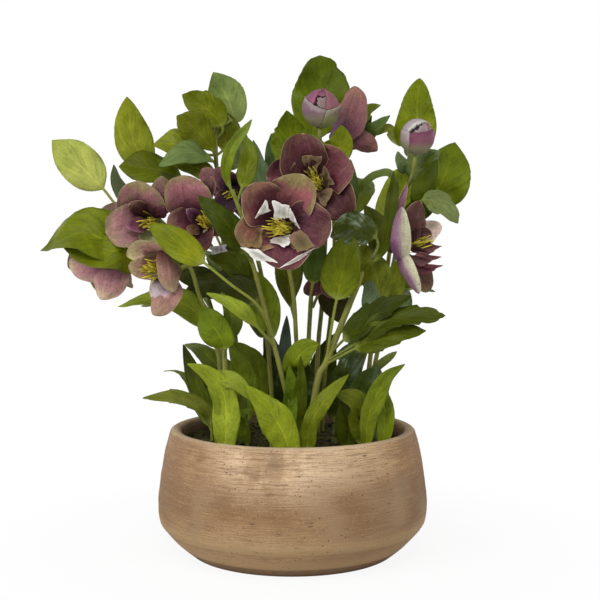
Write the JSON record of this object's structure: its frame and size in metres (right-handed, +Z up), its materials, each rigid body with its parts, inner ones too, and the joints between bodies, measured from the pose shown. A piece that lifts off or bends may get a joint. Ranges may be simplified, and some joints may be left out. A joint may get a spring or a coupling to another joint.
{
  "type": "potted hellebore",
  "caption": "Potted hellebore: plum flowers, buds and green leaves rising from dark soil in a low, round, brushed clay planter.",
  "frame": {"origin": "centre of the planter's flat underside", "axes": "+Z up; -Y is the front, where the middle flower looks; +X is to the right of a viewer in front"},
  "size_m": [0.4246, 0.2754, 0.5021],
  "materials": {
    "clay": "matte",
    "soil": "matte",
    "stem": "satin",
    "leaf_light": "satin",
    "leaf_dark": "satin",
    "leaf_blue": "satin",
    "petal": "satin",
    "bud": "satin",
    "stamen": "matte"
  },
  "bodies": {
    "root": {"planter": "clay", "soil": "soil", "stem_far_left": "stem", "stem_left": "stem", "stem_left_front": "stem", "stem_left_inner": "stem", "stem_left_leafy": "stem", "stem_plum": "stem", "stem_long_leafy": "stem", "stem_front": "stem", "stem_center": "stem", "stem_bud_top": "stem", "stem_top": "stem", "stem_main_right": "stem", "stem_bud_right": "stem", "stem_right_leafy": "stem", "petals_front": "petal", "petals_upper": "petal", "petals_left": "petal", "petals_left_inner": "petal", "petals_plum": "petal", "petals_left_front": "petal", "petals_far_left": "petal", "petals_right": "petal", "petals_top": "petal", "petals_low": "petal", "stamens_front": "stamen", "stamens_upper": "stamen", "stamens_left": "stamen", "stamens_left_inner": "stamen", "stamens_left_front": "stamen", "stamens_right": "stamen", "bud_top": "bud", "bud_right": "bud", "leaf_left_upper": "leaf_light", "leaf_left_lower": "leaf_light", "leaf_left_tall": "leaf_light", "leaf_left_middle": "leaf_dark", "leaf_left_blue": "leaf_blue", "leaf_upper_blue": "leaf_blue", "leaf_long_upright": "leaf_light", "leaf_top_round": "leaf_light", "leaf_top_left": "leaf_light", "leaf_right_top": "leaf_light", "leaf_right_light": "leaf_light", "leaf_right_narrow": "leaf_dark", "leaf_middle_light": "leaf_light", "leaf_center_dark": "leaf_dark", "leaf_notched": "leaf_light", "leaf_left_shade": "leaf_dark", "leaf_serrated": "leaf_dark", "leaf_rim_left": "leaf_dark", "leaf_foot_left": "leaf_light", "leaf_foot_front": "leaf_light", "leaf_foot_middle": "leaf_light", "leaf_foot_right": "leaf_light", "leaf_back_left": "leaf_dark", "leaf_back_right": "leaf_light", "leaf_back_upper_left": "leaf_dark", "leaf_back_upper_right": "leaf_light"}
  },
  "joints": []
}
